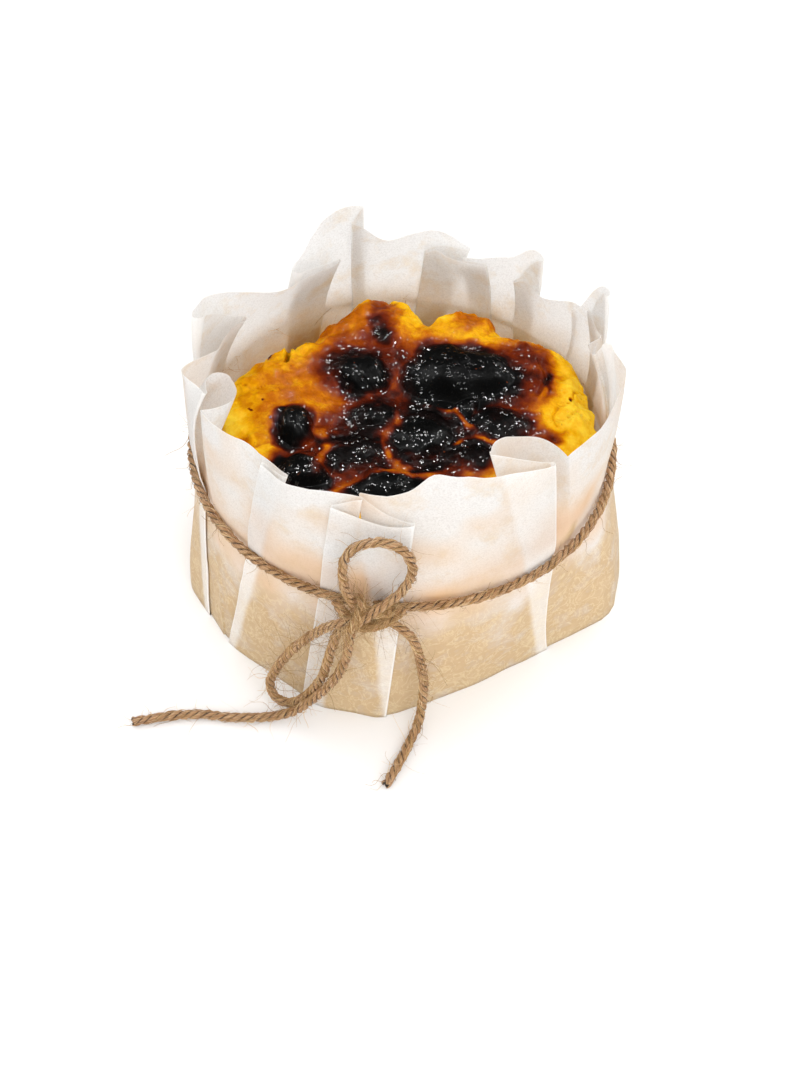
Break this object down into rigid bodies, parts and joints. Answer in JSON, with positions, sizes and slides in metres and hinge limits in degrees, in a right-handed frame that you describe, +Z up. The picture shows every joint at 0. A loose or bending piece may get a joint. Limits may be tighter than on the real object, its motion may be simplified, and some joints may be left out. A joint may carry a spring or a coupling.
{
  "type": "basque cheesecake",
  "caption": "small round burnt-top cheesecake in a tall pleated baking-paper case, tied round with twine in a bow with loose ends on the table",
  "frame": {"origin": "centre of the paper case's flat underside, on the surface it stands on", "axes": "+Z up; -Y is the front, where the bow is tied; +X is to the right as seen from the front"},
  "size_m": [0.1513, 0.1567, 0.1104],
  "materials": {
    "baked_custard": "wet, caramelised and burnt on top",
    "baking_paper": "thin, creased, matt, soaked with fat low down",
    "jute_twine": "rough three-ply natural fibre"
  },
  "bodies": {
    "root": {"cheesecake": "baked_custard", "parchment": "baking_paper", "twine": "jute_twine"}
  },
  "joints": []
}
